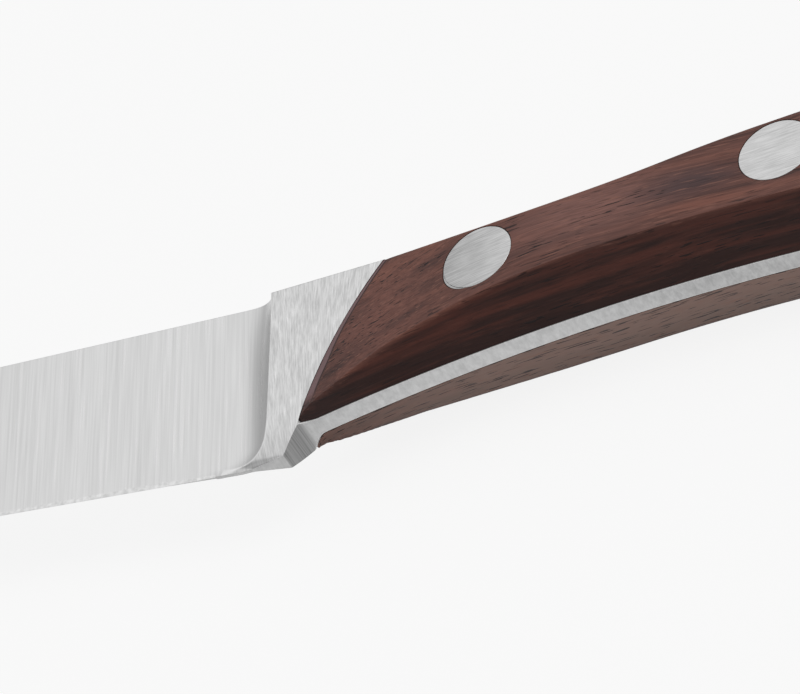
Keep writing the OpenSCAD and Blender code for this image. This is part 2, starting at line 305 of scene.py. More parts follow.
# The heel's side turns in above its underside: places along the edge, heights of the turn and its depths
TURN_U, TURN_H, TURN_IN = (-HEEL_L, -1.5, 2.0, 5.0), (0.3, 0.5, 1.2, 1.3), (0.0, 0.15, 0.4, 0.3)
# Waves of the bevel (height, turn per millimetre, start), their rise above the edge, and the bevel's fading
BEVEL_WAVES = ((0.005, 1.3, 0.0), (0.003, 3.1, 1.0))
BEVEL_WAVE_RISE, BEVEL_FADE = 4, 0.02

front_top = to_knife(FRONT_AHEAD, BLADE_H - FRONT_DROP)
neck_tip = heel_corner + HEEL_BACK_L * heel_dir
plane_neck = np.array([neck_tip[0], neck_tip[1], NECK_T / 2])
plane_front = np.array([front_top[0], front_top[1], BOLSTER_FRONT_T / 2])
plane_joint = np.array([joint_top[0], joint_top[1], float(side_z(np.array(JOINT_X)))])
plane_normal = np.cross(plane_joint - plane_neck, plane_front - plane_neck)
sweep_at = to_knife(SWEEP_AHEAD, SWEEP_H)


def plane_z(x, y):
    """The bolster's flat side, through its front's top, the joint's top and the neck."""
    slide = (x - plane_neck[0]) * plane_normal[0] + (y - plane_neck[1]) * plane_normal[1]
    return plane_neck[2] - slide / plane_normal[2]


def heel_turn(x, y):
    """Where the heel's side turns in above its underside: 1 at the lower edge, 0 above the turn."""
    height = np.interp(to_blade(x, y)[0], TURN_U, TURN_H)
    return np.clip(1 - (y - low(x)) / height, 0.0, 1.0)


def bolster_z(x, y):
    """Side of the bolster, which bends in along the heel's underside."""
    u, v = to_blade(x, y)
    near = np.clip(1 - (v - HEEL_LIFT) / HEEL_BEND_H, 0.0, 1.0)
    dip = (plane_z(*heel_corner) - HEEL_T / 2) * near ** 2
    dip = dip + np.interp(u, TURN_U, TURN_IN) * heel_turn(x, y) ** 2
    thin_end = [HEEL_THIN_END - HEEL_THIN_BLUR, HEEL_THIN_END + HEEL_THIN_BLUR]
    least = np.interp(u, thin_end, [HEEL_EDGE_T / 2, HEEL_T / 2])
    return soft_max(plane_z(x, y) - dip, least, HEEL_HOLLOW)


def ground_z(x, y):
    """Ground face of the blade, with the hollow run-out that climbs to the bolster."""
    u, v = to_blade(x, y)
    across, down = x - sweep_at[0], sweep_at[1] - y
    reach = np.where((across > 0) & (down > 0), np.hypot(across, down), np.maximum(across, down))
    climb = np.clip(reach - (SWEEP_R - RUNOUT_R), 0.0, RUNOUT_R)
    wall = RUNOUT_R - np.sqrt(RUNOUT_R ** 2 - climb ** 2)
    rise = (BOLSTER_FRONT_T - SPINE_T) / 2
    tight = np.clip((v - BLADE_H / 2) / (BLADE_H / 2), 0.0, 1.0)
    wall = wall * (1 - tight ** 2 * np.clip(1 - wall / rise, 0.0, 1.0))
    return EDGE_T / 2 + v * FACE_SLOPE - u * tan(DISTAL_TAPER) + wall


def bevel_z(x, y):
    """Edge bevel, slightly wavy, which fades out towards the heel."""
    u, v = to_blade(x, y)
    depth = np.where(u < EDGE_STRAIGHT, v, EDGE_R - np.hypot(u - EDGE_STRAIGHT, EDGE_R - v))
    wander = sum(height * np.sin(u * turn + start) for height, turn, start in BEVEL_WAVES)
    fade = np.maximum(BEVEL_START - u, 0.0) * BEVEL_FADE + np.maximum(BEVEL_START / 2 - u, 0.0)
    rise = np.maximum(depth, 0.0) * tan(BEVEL_ANGLE)
    return EDGE_FLAT / 2 + rise + wander * np.clip(depth * BEVEL_WAVE_RISE, 0, 1) + fade


def body_z(x, y):
    """Bolster with the facet of its crown."""
    facet = HALF_TANG + GLUE_GAP + (crown(x) - y) / tan(CROWN_ANGLE)
    return soft_min(bolster_z(x, y), facet, CROWN_RIDGE)


# Meshes of heightfields: columns are numbered from point to butt, and rows from belly to crown

SMOOTH_ANGLE, HEAD_SMOOTH_ANGLE = 32.0, 28.0
SETTLING_ROUNDS = 8
END_SHARE = 2.6
# Nominal x of columns that follow the bolster's front and the joint, and of those where others close up
BLADE_REF, RUNOUT_REF, FRONT_REF, JOINT_REF = -60.0, -40.0, -29.0, -17.0
# Columns are straight behind SQUARE_X, and close up over the last BUTT_ROUND_L
SQUARE_X, BUTT_ROUND_L = 8.0, 7.0


def rows(bottom, top, near, count):
    """Heights of a column's points: close steps at both ends and even ones between them."""
    near = np.asarray(near)
    height = (top - bottom)[:, None]
    squeeze = np.minimum(1.0, height / (END_SHARE * near[-1]))
    lower = bottom[:, None] + near * squeeze
    upper = top[:, None] - near[::-1] * squeeze
    t = np.linspace(0, 1, count + 2)[1:-1]
    middle = lower[:, -1:] * (1 - t) + upper[:, :1] * t
    return np.hstack([lower, middle, upper])


def height_grid(columns, place, bottom, top, near, count):
    """Grid of a heightfield: place gives the columns' x at their heights."""
    x = np.repeat(columns[:, None], len(near) * 2 + count, axis=1)
    for _ in range(SETTLING_ROUNDS):
        y = np.empty_like(x)
        for j in range(x.shape[1]):
            y[:, j] = rows(bottom(x[:, j]), top(x[:, j]), near, count)[:, j]
        x = place(y)
    return x, y


def joint_pull(columns):
    """How far columns follow the joint's arc: fully at the joint, and not at all behind SQUARE_X."""
    return np.clip((SQUARE_X - columns) / (SQUARE_X - JOINT_REF), 0.0, 1.0)[:, None]


def butt_columns(first_turn, count):
    """Columns that close up towards the butt."""
    return BUTT_X - BUTT_ROUND_L + BUTT_ROUND_L * np.sin(np.linspace(first_turn, math.pi / 2, count))


def grid_points(x, y, z):
    return np.stack([x, y, z], axis=-1).reshape(-1, 3)


def grid_faces(n, m, start=0, flip=False):
    i, j = np.meshgrid(np.arange(n - 1), np.arange(m - 1), indexing="ij")
    a = start + i * m + j
    quads = np.stack([a, a + m, a + m + 1, a + 1], axis=-1).reshape(-1, 4)
    return quads[:, ::-1] if flip else quads


def skin_faces(n, m):
    """Faces of a closed skin: two facing grids of n columns and m rows, both rims and both ends."""
    other = n * m
    faces = [grid_faces(n, m), grid_faces(n, m, other, True)]
    for row, flip in ((0, False), (m - 1, True)):
        a = np.arange(n - 1) * m + row
        rim = np.stack([a, a + other, a + other + m, a + m], axis=-1)
        faces.append(rim[:, ::-1] if flip else rim)
    for column, flip in ((0, True), (n - 1, False)):
        a = column * m + np.arange(m - 1)
        end = np.stack([a, a + other, a + other + 1, a + 1], axis=-1)
        faces.append(end[:, ::-1] if flip else end)
    return np.vstack(faces)


def link(name, data):
    """A new object in the scene."""
    obj = bpy.data.objects.new(name, data)
    bpy.context.scene.collection.objects.link(obj)
    return obj


def shade_smooth(mesh, angle):
    """Smooth shading, with sharp edges where the surface turns by more than an angle."""
    mesh.polygons.foreach_set("use_smooth", np.ones(len(mesh.polygons), bool))
    mesh.set_sharp_from_angle(angle=math.radians(angle))


def make_object(name, verts, faces, materials, smooth_angle=SMOOTH_ANGLE):
    mesh = bpy.data.meshes.new(name)
    mesh.from_pydata([tuple(v) for v in to_row(verts)], [], [tuple(int(i) for i in f) for f in faces])
    mesh.validate()
    shade_smooth(mesh, smooth_angle)
    for material in materials:
        mesh.materials.append(material)
    return link(name, mesh)


def set_fields(mesh, fields):
    """Keeps named values at a mesh's points, for its materials."""
    for name, values in fields.items():
        layer = mesh.attributes.new(name, "FLOAT", "POINT")
        layer.data.foreach_set("value", values)


# Forging

# Distances of the closest rows from the rim, and the rows between them
STEEL_NEAR = np.concatenate([[0.0, 0.012, 0.035, 0.07, 0.12], np.arange(0.19, 2.3, 0.1)])
STEEL_ROWS = 62
# Steps of the columns at the point, and places of those beside the bolster's front and behind the joint
POINT_INSET, POINT_STEPS = 0.12, np.linspace(0.05, 1.2, 22)
FRONT_COLUMNS = np.array([-0.07, -0.03, 0.0, 0.03])
ROOT_COLUMNS = np.array([0.0, 0.02, 0.05, 0.09, 0.14, 0.2, 0.28, 0.37,
                         0.48, 0.6, 0.75, 0.9, 1.1, 1.3, 1.5, 1.75])
# Other columns from point to joint, and from root to butt: gaps beside them, their steps and counts
BLADE_GAP, BLADE_COLUMNS = 1.3, 58
RUNUP_GAP, RUNUP_STEP = 0.4, 0.3
RUNOUT_STEP, FRONT_GAP = 0.14, 0.12
BOLSTER_GAP, BOLSTER_COLUMNS = 0.08, 84
ROOT_GAP, WAIST_COLUMNS = 0.4, 24
TANG_GAP, TANG_COLUMNS = 1.2, 44
TANG_BUTT_TURN, TANG_BUTT_COLUMNS = 0.05, 18
# Search for the line of the bolster's front: how far ahead and behind, and how finely
LINE_AHEAD, LINE_BEHIND, LINE_STEPS, LINE_ROWS = 3.0, 5.0, 801, 200
# Radii of the eased rims, and how high the heel's one reaches
BLADE_RIM, HEEL_RIM, HEEL_RIM_H, TANG_RIM = 0.12, 0.03, 1.0, 0.1
# Differences in height over which one surface's look gives way to the next
BLADE_BLUR, BEVEL_BLUR, LINE_BLUR = 0.15, 0.02, 0.07
# Painted shade: grey on the heel's turn along the edge, and darker colour on the heel's back along the rim,
# where grinding lines run
TURN_SHADE_U, TURN_SHADE = (-HEEL_L, -0.5, 1.5, 5.5, 6.5), (0.0, 0.12, 0.9, 1.0, 0.0)
TURN_SPREAD = 2
HEEL_TONE_X = (heel_corner[0] - 0.05, heel_corner[0] + 0.05, neck_tip[0] - 0.1, neck_tip[0] + 0.35,
               neck_tip[0] + 3.0, neck_tip[0] + 8.0)
HEEL_TONE = (0.26, 1.0, 1.0, 0.2, 0.08, 0.0)


def rim_ease(x, y, z, r):
    """Rounds the rim of a heightfield: it drops by r on the last r millimetres before the outline."""
    d = np.clip(np.minimum(y - low(x), high(x) - y), 0.0, r)
    return z - np.minimum(r, z * 0.5) * (1 - np.sqrt(1 - (1 - d / r) ** 2))


def front_line():
    """Heights and places where the run-out meets the bolster's side, down to its turn above the heel."""
    y = np.linspace(float(low(FRONT_REF)), float(high(FRONT_REF)), LINE_ROWS)
    x = np.linspace(FRONT_REF - LINE_AHEAD, FRONT_REF + LINE_BEHIND, LINE_STEPS)
    grid_x, grid_y = np.meshgrid(x, y)
    gap = body_z(grid_x, grid_y) - ground_z(grid_x, grid_y)
    first = np.clip(np.argmax(gap <= 0, axis=1), 1, len(x) - 1)
    row = np.arange(len(y))
    ahead, behind = gap[row, first - 1], gap[row, first]
    share = np.clip(ahead / np.where(ahead == behind, 1.0, ahead - behind), 0.0, 1.0)
    return y, x[first - 1] + share * (x[1] - x[0])


def blade_grid():
    """Blade and bolster: columns bend along the bolster's front line, and then along the joint."""
    point = low_line[0][0] + POINT_INSET + np.cumsum(POINT_STEPS)
    nominal = np.concatenate([
        point, np.linspace(point[-1] + BLADE_GAP, BLADE_REF, BLADE_COLUMNS),
        np.arange(BLADE_REF + RUNUP_GAP, RUNOUT_REF, RUNUP_STEP),
        np.arange(RUNOUT_REF, FRONT_REF - FRONT_GAP, RUNOUT_STEP), FRONT_REF + FRONT_COLUMNS,
        np.linspace(FRONT_REF + BOLSTER_GAP, JOINT_REF, BOLSTER_COLUMNS)])
    to_front = np.interp(nominal, [RUNOUT_REF, FRONT_REF, JOINT_REF], [0.0, 1.0, 0.0])[:, None]
    to_joint = np.interp(nominal, [FRONT_REF, JOINT_REF], [0.0, 1.0])[:, None]
    line_y, line_x = front_line()

    def place(y):
        along_front = to_front * (np.interp(y, line_y, line_x) - FRONT_REF)
        return nominal[:, None] + along_front + to_joint * (joint_line(y) - JOINT_REF)

    x, y = height_grid(nominal, place, low, high, STEEL_NEAR, STEEL_ROWS)
    z = soft_min(body_z(x, y), ground_z(x, y), FRONT_RIDGE)
    z = soft_min(z, bevel_z(x, y), BEVEL_RIDGE)
    at_heel = (y - low(x) < HEEL_RIM_H) & (x > HEEL_X - BEVEL_START) & (x < neck_tip[0])
    return x, y, rim_ease(x, y, z, np.where(at_heel, HEEL_RIM, BLADE_RIM))


def tang_grid():
    """Tang with its root fillet behind the joint."""
    root = JOINT_REF + ROOT_COLUMNS
    nominal = np.concatenate([
        root, np.linspace(root[-1] + ROOT_GAP, SQUARE_X, WAIST_COLUMNS),
        np.linspace(SQUARE_X + TANG_GAP, BUTT_X - BUTT_ROUND_L, TANG_COLUMNS),
        butt_columns(TANG_BUTT_TURN, TANG_BUTT_COLUMNS)])
    pull = joint_pull(nominal)

    def place(y):
        return nominal[:, None] + pull * (joint_line(y) - JOINT_REF)

    x, y = height_grid(nominal, place, low, high, STEEL_NEAR, STEEL_ROWS)
    z = np.minimum(HALF_TANG + root_rise(joint_depth(x, y)), body_z(x, y))
    return x, y, rim_ease(x, y, z, TANG_RIM)


def steel_fields(x, y, x_all):
    """Which surface the points of the forging belong to, from 0 to 1; x and y are those of blade_grid."""
    over = body_z(x, y) - ground_z(x, y)
    on_blade = np.clip(over / BLADE_BLUR + 0.5, 0, 1)
    turn_shade = np.interp(to_blade(x, y)[0], TURN_SHADE_U, TURN_SHADE)
    ahead = {
        "on_blade": on_blade,
        "on_bevel": np.clip((ground_z(x, y) - bevel_z(x, y)) / BEVEL_BLUR, 0, 1),
        "line_highlight": np.exp(-(over / LINE_BLUR) ** 2),
        "on_wall": np.clip(np.gradient(ground_z(x, y), axis=0) / np.gradient(x, axis=0), 0, 1),
        "on_turn": np.clip(heel_turn(x, y) * TURN_SPREAD, 0, 1) * (1 - on_blade) * turn_shade}
    tang = np.zeros((len(x_all) - len(x), x.shape[1]))
    fields = {name: np.vstack([field, tang]) for name, field in ahead.items()}
    fields["on_heel"] = np.interp(x_all, HEEL_TONE_X, HEEL_TONE)
    return {name: np.tile(field.ravel(), 2) for name, field in fields.items()}


def forging():
    """Blade, bolster and tang as one closed skin: two mirrored heightfields and the rim between them."""
    x1, y1, z1 = blade_grid()
    x2, y2, z2 = tang_grid()
    x = np.vstack([x1, x2])
    left = grid_points(x, np.vstack([y1, y2]), np.vstack([z1, z2]))
    n, m = x.shape
    verts = np.vstack([left, left * [1, 1, -1]])
    obj = make_object("forging", verts, skin_faces(n, m), [ground_steel(), rim_steel()])
    # The rim is rim steel, apart from the ground edge and the spine ahead of the joint
    lower_rim = 2 * (n - 1) * (m - 1)
    upper_rim = lower_rim + n - 1
    index = np.zeros(len(obj.data.polygons), int)
    index[lower_rim:] = 1
    index[lower_rim + np.flatnonzero(x[:-1, 0] < HEEL_X - BEVEL_START)] = 0
    index[upper_rim:upper_rim + len(x1)] = 0
    obj.data.polygons.foreach_set("material_index", index)
    set_fields(obj.data, steel_fields(x1, y1, x))
    return obj


# Scales

# Rows and columns, as on the forging
SCALE_NEAR = np.concatenate([[0.0, 0.03, 0.07], np.arange(0.13, 4.2, 0.11)])
SCALE_ROWS = 24
FRONT_STEPS = np.linspace(0.03, 0.22, 60)
FORE_GAP, FORE_COLUMNS = 0.25, 60
REAR_GAP, REAR_COLUMNS = 0.4, 150
BUTT_TURN, BUTT_COLUMNS = 0.06, 26
# Inset of the wood from the tang's outline, and its least thickness
RIM_INSET, LEAST_WOOD = 0.02, 0.02
# Eased front edge: its widths at heights, its slope, its ridge, and the seam scored behind it
BAND_Y, BAND_W = (-10.5, -7.5, -4.6, -2.5, -0.5, 7.0), (1.6, 1.35, 1.3, 1.0, 0.85, 0.55)
BAND_SLOPE, BAND_RIDGE = 0.2, 0.03
SEAM_DEPTH, SEAM_W = 0.05, 0.08
# Lower facet along the handle: height per millimetre of thickness, and the rounding of its ridge
FACET_X, FACET_RISE = (-24.5, -22.0, -18.0, -13.0), (0.1, 0.16, 0.26, tan(BELLY_ANGLE))
RIDGE_X, RIDGE_SOFT = (-24.0, -16.0, -6.0, 2.0, 8.0), (0.35, 0.55, 0.55, 0.4, 0.3)
UPPER_RIDGE = 0.8
# The wood's lower tip is drawn back from the joint below TIP_Y
TIP_Y, TIP_H, LEFT_TIP_GAP, RIGHT_TIP_GAP = -8.4, 1.6, 0.18, 0.1
# Looks: blur of band, seam and facet, and the height at which band and seam end
BAND_BLUR, SEAM_BLUR = 0.12, 0.13
FACET_BLUR_X, FACET_BLUR = (-8.0, 4.0), (0.36, 0.25)
BAND_END_Y, BAND_END_H = -9.6, 1.4
# Seats of the rivet heads, and the front head's lip at the lower left
SEAT_STEPS, SEAT_GAP, SEAT_OVER = 96, 0.08, 2.0
LIP_W, LIP_TURN, LIP_HALF, LIP_FADE = 0.26, math.radians(217), math.radians(34), 2.6


def band_width(y):
    """Width of the scale's eased front edge."""
    return np.interp(y, BAND_Y, BAND_W)


def scale_z(x, y):
    """Outer face of the left scale: flat side, sloping facets, and the eased front edge at the bolster."""
    depth = joint_depth(x, y)
    steep = np.interp(x, FACET_X, FACET_RISE)
    lower = HALF_TANG + root_rise(depth) + (y - np.minimum(belly(x), low(x))) / steep
    upper = HALF_TANG + (crown(x) - y) / tan(CROWN_ANGLE)
    front = side_z(x) - BAND_SLOPE * (band_width(y) - depth)
    face = soft_min(side_z(x), front, BAND_RIDGE)
    face = soft_min(face, lower, np.interp(x, RIDGE_X, RIDGE_SOFT))
    face = soft_min(face, upper, UPPER_RIDGE)
    return face - SEAM_DEPTH * np.exp(-((depth - band_width(y)) / SEAM_W) ** 2)


def wood_front(y, tip_gap):
    """Front end of the wood: along the joint, drawn back by tip_gap at its lower tip."""
    return joint_line(y, GLUE_GAP) + tip_gap * np.clip((TIP_Y - y) / TIP_H, 0.0, 1.0) ** 2


def scale_low(x):
    return low(x) + RIM_INSET


def scale_high(x):
    return high(x) - RIM_INSET


def scale(name, mirrored, material):
    """One handle half: outer face, inner face along tang and root fillet, and the rim between them."""
    front = JOINT_REF + np.cumsum(FRONT_STEPS) - FRONT_STEPS[0]
    nominal = np.concatenate([
        front, np.linspace(front[-1] + FORE_GAP, SQUARE_X, FORE_COLUMNS),
        np.linspace(SQUARE_X + REAR_GAP, BUTT_X - BUTT_ROUND_L, REAR_COLUMNS),
        butt_columns(BUTT_TURN, BUTT_COLUMNS)])
    pull = joint_pull(nominal)
    tip_gap = RIGHT_TIP_GAP if mirrored else LEFT_TIP_GAP

    def place(y):
        return nominal[:, None] + pull * (wood_front(y, tip_gap) - JOINT_REF)

    x, y = height_grid(nominal, place, scale_low, scale_high, SCALE_NEAR, SCALE_ROWS)
    inner = HALF_TANG + GLUE_GAP + root_rise(joint_depth(x, y) - GLUE_GAP)
    outer = np.maximum(scale_z(x, y), inner + LEAST_WOOD)
    verts = np.vstack([grid_points(x, y, outer), grid_points(x, y, inner)])
    faces = skin_faces(*x.shape)
    if mirrored:
        verts = verts * [1, 1, -1]
        faces = faces[:, ::-1]
    obj = make_object(name, verts, faces, [material])
    seat_rivets(obj, -1 if mirrored else 1)
    set_fields(obj.data, wood_fields(obj.data))
    return obj


def lip(turn, on_front):
    """How far the front rivet's head bulges over its seat at the lower left."""
    swell = LIP_W * np.clip(np.cos((turn - LIP_TURN) * LIP_FADE), 0, 1)
    return swell * (np.abs(turn - LIP_TURN) < LIP_HALF) * on_front


def seat_cutter(index, sign):
    """Round block in the place of a rivet's head, on the left side with sign 1 and on the right with -1."""
    turn = np.linspace(0, 2 * math.pi, SEAT_STEPS, endpoint=False)
    r = HEAD_D / 2 + SEAT_GAP + lip(turn, index == 0 and sign > 0)
    ring = np.column_stack([RIVET_X[index] + r * np.cos(turn), r * np.sin(turn), np.zeros(SEAT_STEPS)])
    bottom = ring + [0, 0, sign * (HALF_T - HEAD_SEAT)]
    top = ring + [0, 0, sign * (HALF_T + SEAT_OVER)]
    a = np.arange(SEAT_STEPS)
    b = (a + 1) % SEAT_STEPS
    faces = [list(quad) for quad in np.stack([a, b, b + SEAT_STEPS, a + SEAT_STEPS], axis=-1)]
    faces += [list(range(SEAT_STEPS - 1, -1, -1)), list(range(SEAT_STEPS, 2 * SEAT_STEPS))]
    if sign < 0:
        faces = [face[::-1] for face in faces]
    mesh = bpy.data.meshes.new(f"cutter_{index}")
    mesh.from_pydata([tuple(v) for v in to_row(np.vstack([bottom, top]))], [], faces)
    return link(f"cutter_{index}", mesh)


def seat_rivets(obj, sign):
    """Cuts the round seats of the rivet heads into a scale."""
    cutters = [seat_cutter(index, sign) for index in range(len(RIVET_X))]
    for index, cutter in enumerate(cutters):
        cut = obj.modifiers.new(f"seat_{index}", "BOOLEAN")
        cut.operation = "DIFFERENCE"
        cut.solver = "EXACT"
        cut.object = cutter
    graph = bpy.context.evaluated_depsgraph_get()
    whole = obj.data
    obj.data = bpy.data.meshes.new_from_object(obj.evaluated_get(graph))
    obj.modifiers.clear()
    bpy.data.meshes.remove(whole)
    for cutter in cutters:
        bpy.data.meshes.remove(cutter.data)
    shade_smooth(obj.data, SMOOTH_ANGLE)


def wood_fields(mesh):
    """Which points of a scale lie on its front band, on its seam and on its facets, from 0 to 1."""
    at = np.empty(len(mesh.vertices) * 3)
    mesh.vertices.foreach_get("co", at)
    x, y, z = (at.reshape(-1, 3) / MM + [ORIGIN_X, 0.0, -HALF_T]).T
    inside = joint_depth(x, y) - band_width(y)
    blur = np.interp(x, FACET_BLUR_X, FACET_BLUR)
    fade = np.clip((y - BAND_END_Y) / BAND_END_H, 0, 1)
    return {"on_band": np.clip(0.5 - inside / BAND_BLUR, 0, 1) * fade,
            "on_seam": np.exp(-(inside / SEAM_BLUR) ** 2) * fade,
            "on_facet": np.clip((side_z(x) - np.abs(z)) / blur - 0.5, 0, 1)}


# Rivets

HEAD_STEPS = 128
HEAD_RINGS = (0.4, 1.4, 2.4, 3.2, 3.8, 4.15, 4.3, 4.38, 4.43)
# Groove beside the front head's lip: radii and drops, drawn in by GROOVE_IN, and its radius without a lip
GROOVE, GROOVE_IN, GROOVE_PLAIN_R = ((4.46, 0.10), (4.49, 0.10), (4.52, 0.03)), 0.03, 4.465
LEAST_LIP, GROOVE_FADE = 0.01, 8
HEAD_EASE, EASE_STEPS, LEAST_STEP = 0.05, 6, 0.001
HEAD_WALL, HUB_R = 1.2, 0.2
TUBE_GAP, PIN_END_GAP = 0.1, 0.5


def head_rings(sway):
    """Radii of a head's rings and their drops below the handle's side, from the middle to the eased rim."""
    rings = [(np.full_like(sway, r), np.zeros_like(sway)) for r in HEAD_RINGS]
    for r, drop in GROOVE:
        radius = np.where(sway > LEAST_LIP, r - GROOVE_IN, min(r, GROOVE_PLAIN_R))
        rings.append((radius, drop * np.clip(sway * GROOVE_FADE, 0, 1)))
    for turn in np.linspace(0.0, math.pi / 2, EASE_STEPS):
        radius = HEAD_D / 2 + sway - HEAD_EASE * (1 - math.sin(turn))
        drop = np.full_like(sway, HEAD_EASE * (1 - math.cos(turn)))
        rings.append((np.maximum(radius, rings[-1][0] + LEAST_STEP), drop))
    return rings


def shank(is_socket):
    """Radii and heights of a rivet half below its head: the head's wall, then tube or pin."""
    seat = HALF_T - HEAD_SEAT
    reach = HEAD_D / 2
    wall = [(reach, HALF_T - HEAD_WALL), (reach, seat + HEAD_CHAMFER), (reach - HEAD_CHAMFER, seat)]
    if is_socket:
        bore = PIN_D / 2 + PIN_GAP
        return wall + [(SOCKET_D / 2, seat), (SOCKET_D / 2, TUBE_GAP - seat), (bore, TUBE_GAP - seat),
                       (bore, seat), (HUB_R, seat)]
    return wall + [(PIN_D / 2, seat), (PIN_D / 2, PIN_END_GAP - seat), (HUB_R, PIN_END_GAP - seat)]


def rivet(name, index, is_socket, material):
    """One rivet half: a head that follows the handle's side, with an eased rim, and its tube or pin."""
    turn = np.linspace(0, 2 * math.pi, HEAD_STEPS, endpoint=False)
    verts = []
    for r, drop in head_rings(lip(turn, index == 0 and is_socket)):
        x, y = RIVET_X[index] + r * np.cos(turn), r * np.sin(turn)
        verts.append(np.column_stack([x, y, side_z(x) - HEAD_RECESS - drop]))
    for r, z in shank(is_socket):
        x, y = RIVET_X[index] + r * np.cos(turn), r * np.sin(turn)
        verts.append(np.column_stack([x, y, np.full_like(turn, z)]))
    n, m = len(verts), len(turn)
    first = np.arange(n - 1)[:, None] * m
    a = (first + np.arange(m)[None]).ravel()
    b = (first + (np.arange(m)[None] + 1) % m).ravel()
    faces = [list(quad) for quad in np.stack([a, a + m, b + m, b], axis=-1)]
    faces += [list(range(m)), list(range(n * m - 1, (n - 1) * m - 1, -1))]
    verts = np.vstack(verts)
    if not is_socket:
        verts = verts * [1, 1, -1]
        faces = [face[::-1] for face in faces]
    return make_object(name, verts, faces, [material], HEAD_SMOOTH_ANGLE)


# Nodes of materials; their sizes and places are in metres, in the row frame

BLOB_CORE = 0.25


def new_material(name):
    material = bpy.data.materials.new(name)
    material.use_nodes = True
    tree = material.node_tree
    tree.nodes.clear()
    return material, tree


def add(tree, kind, sockets=(), **settings):
    """A node with its settings, and its inputs given as values or as sockets to link."""
    made = tree.nodes.new(kind)
    for key, value in settings.items():
        setattr(made, key, value)
    for key, value in dict(sockets).items():
        if isinstance(value, bpy.types.NodeSocket):
            tree.links.new(value, made.inputs[key])
        else:
            made.inputs[key].default_value = value
    return made


def object_coords(tree):
    return add(tree, "ShaderNodeTexCoord").outputs["Object"]


def split(tree, coords):
    return add(tree, "ShaderNodeSeparateXYZ", {0: coords}).outputs


def attribute(tree, name):
    return add(tree, "ShaderNodeAttribute", attribute_name=name).outputs["Fac"]


def math_node(tree, operation, a, b=0.0, clamp=False):
    return add(tree, "ShaderNodeMath", {0: a, 1: b}, operation=operation, use_clamp=clamp).outputs[0]


def times(tree, a, b):
    return math_node(tree, "MULTIPLY", a, b)


def vector_node(tree, operation, a, b):
    return add(tree, "ShaderNodeVectorMath", {0: a, 1: b}, operation=operation).outputs[0]


def weighted(tree, a, share, b):
    """Sum of two values: a share of the first, and the rest of the second."""
    return math_node(tree, "ADD", times(tree, a, share), times(tree, b, 1 - share))


def streaks(tree, coords, stretch, rotation=(0, 0, 0), detail=3.0, rough=0.6):
    """Noise with its own number of features per metre along each axis."""
    placed = add(tree, "ShaderNodeMapping", {"Vector": coords, "Rotation": rotation, "Scale": stretch})
    noise = add(tree, "ShaderNodeTexNoise",
                {"Vector": placed.outputs[0], "Scale": 1.0, "Detail": detail, "Roughness": rough})
    return noise.outputs["Fac"]


def map_range(tree, value, a, b, c, d):
    """Carries values from a to b over to values from c to d, and holds those beyond."""
    return add(tree, "ShaderNodeMapRange", {0: value, 1: a, 2: b, 3: c, 4: d}).outputs[0]


def ramp(tree, value, a, b):
    return map_range(tree, value, a, b, 0.0, 1.0)


def mix(tree, factor, a, b):
    return add(tree, "ShaderNodeMix", {0: factor, 6: a, 7: b}, data_type="RGBA").outputs[2]


def tint(tree, colour, mask, share, over):
    """A colour with a share of another one laid over it where the mask is 1."""
    return mix(tree, times(tree, mask, share), colour, over)


def colour_ramp(tree, value, stops):
    """Colours between stops, each a place and a colour, in rising order."""
    made = add(tree, "ShaderNodeValToRGB", {"Fac": value})
    elements = made.color_ramp.elements
    for element, (place, colour) in zip(elements, (stops[0], stops[-1])):
        element.position = place
        element.color = colour
    for place, colour in stops[1:-1]:
        elements.new(place).color = colour
    return made.outputs[0]


def blob(tree, coords, centre, radii):
    """Soft spot: 1 at its centre, 0 outside an ellipsoid."""
    away = vector_node(tree, "SUBTRACT", coords, centre)
    away = vector_node(tree, "MULTIPLY", away, tuple(1 / r for r in radii))
    length = add(tree, "ShaderNodeVectorMath", {0: away}, operation="LENGTH").outputs["Value"]
    return map_range(tree, length, BLOB_CORE, 1.0, 1.0, 0.0)


def grey(value):
    return (value, value, value, 1.0)


def bump(tree, height, strength, distance):
    return add(tree, "ShaderNodeBump",
               {"Strength": strength, "Distance": distance, "Height": height}).outputs[0]


def surface(tree, sockets):
    """Principled surface with the given inputs."""
    shader = add(tree, "ShaderNodeBsdfPrincipled", sockets)
    add(tree, "ShaderNodeOutputMaterial", {0: shader.outputs[0]})


# Materials

# Stretch of the noise between dark and pale lines, and depths of their relief
LINE_RANGE = (0.3, 0.7)
GRIND_DEPTH, RIVET_DEPTH, PORE_DEPTH = 0.00003, 0.00002, 0.00004
# The bolster's lines stand upright at FAN_X ahead of the origin, and lean by FAN_LEAN behind it
FAN_X, FAN_LEAN = 0.0832, -13.0
# From where to where the tang's rim changes its tone along the handle, and the front rivet's painted shade
# fades
RIM_TONE_X, RIVET_SHADE_X = (-0.046, -0.034), (-0.0606, -0.05)
# The grain bends in arches along the handle: start, turn per metre and height
ARCH_X, ARCH_TURN, ARCH_H = 0.0611, 104.7, -0.0015
WAVE_SCALE, WAVE_REACH = 28.0, (0.0, 0.004, 0.004)
GRAIN, FLECK_GRAIN = (0.0, 0.02, 0.02), (0.0, 0.02, 0.03)
MIDDLE_Z, MIDDLE_BLUR = HALF_T * MM, 0.00035
# Share of the painted light on the right scale's lower facet, along the handle
FACET_LIGHT_X, FACET_LIGHT = (-0.082, -0.06), (0.3, 0.7)
WOOD_STOPS = ((0.34, (0.028, 0.017, 0.017, 1)), (0.44, (0.100, 0.043, 0.035, 1)),
              (0.52, (0.165, 0.067, 0.051, 1)), (0.66, (0.245, 0.098, 0.070, 1)))
